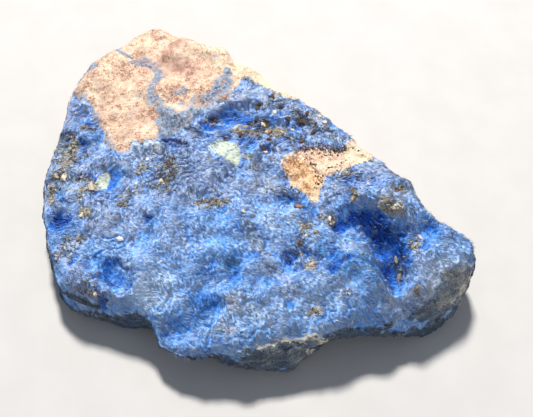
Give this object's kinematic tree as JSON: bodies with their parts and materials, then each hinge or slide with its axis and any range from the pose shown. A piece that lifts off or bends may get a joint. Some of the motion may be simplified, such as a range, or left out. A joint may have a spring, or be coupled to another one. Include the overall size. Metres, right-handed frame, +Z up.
{
  "type": "cyanotrichite mineral specimen",
  "caption": "Hand-size slab of broken pale rock under a rough, finely fibrous blue mineral crust, lying flat as found.",
  "frame": {"origin": "on the surface the slab rests on, under the middle of its bounding box", "axes": "+X along the slab's long side towards its narrow end, +Y towards its back corner, +Z up, out of the crusted face"},
  "size_m": [0.078, 0.0716, 0.0185],
  "materials": {
    "crusted_rock": "matt, rough, velvety blue crust over granular pale pink-tan rock"
  },
  "bodies": {
    "root": {"specimen": "crusted_rock"}
  },
  "joints": []
}
